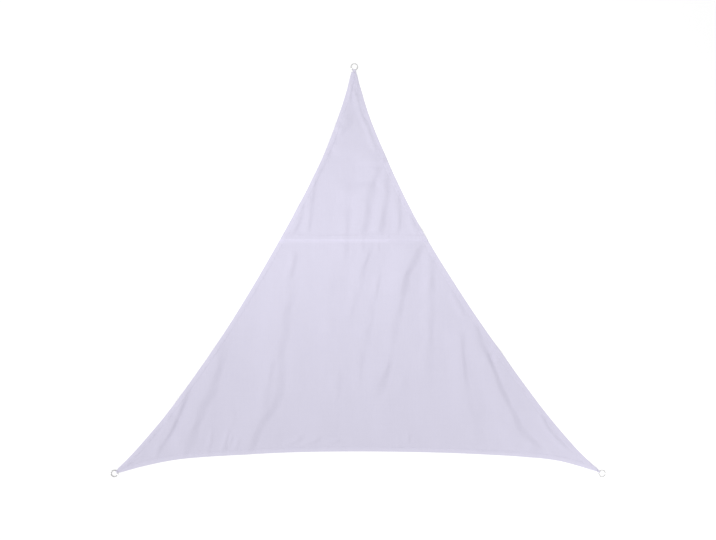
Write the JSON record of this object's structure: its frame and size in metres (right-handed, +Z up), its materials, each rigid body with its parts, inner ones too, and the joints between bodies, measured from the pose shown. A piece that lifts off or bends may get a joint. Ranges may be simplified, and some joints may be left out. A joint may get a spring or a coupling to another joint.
{
  "type": "shade sail",
  "caption": "Triangular polyester shade sail of cross-seamed panels with hollow hemmed edges, webbing loops and steel corner rings, laid out flat.",
  "frame": {"origin": "on the ground under the middle of the laid-out sail's bounding box", "axes": "+Z up, out of the face that the picture shows; +Y towards the top corner; +X along the bottom edge, to the right in the picture"},
  "size_m": [3.045, 2.545, 0.0145],
  "materials": {
    "sail_cloth": "plain-woven polyester, pale lavender white, matt with a faint sheen",
    "webbing": "woven polyester tape in the colour of the cloth",
    "ring_steel": "drawn stainless wire, welded and polished"
  },
  "bodies": {
    "root": {"upper_panel": "sail_cloth", "lower_panel": "sail_cloth", "webbing_top": "webbing", "webbing_left": "webbing", "webbing_right": "webbing", "ring_top": "ring_steel", "ring_left": "ring_steel", "ring_right": "ring_steel"}
  },
  "joints": []
}
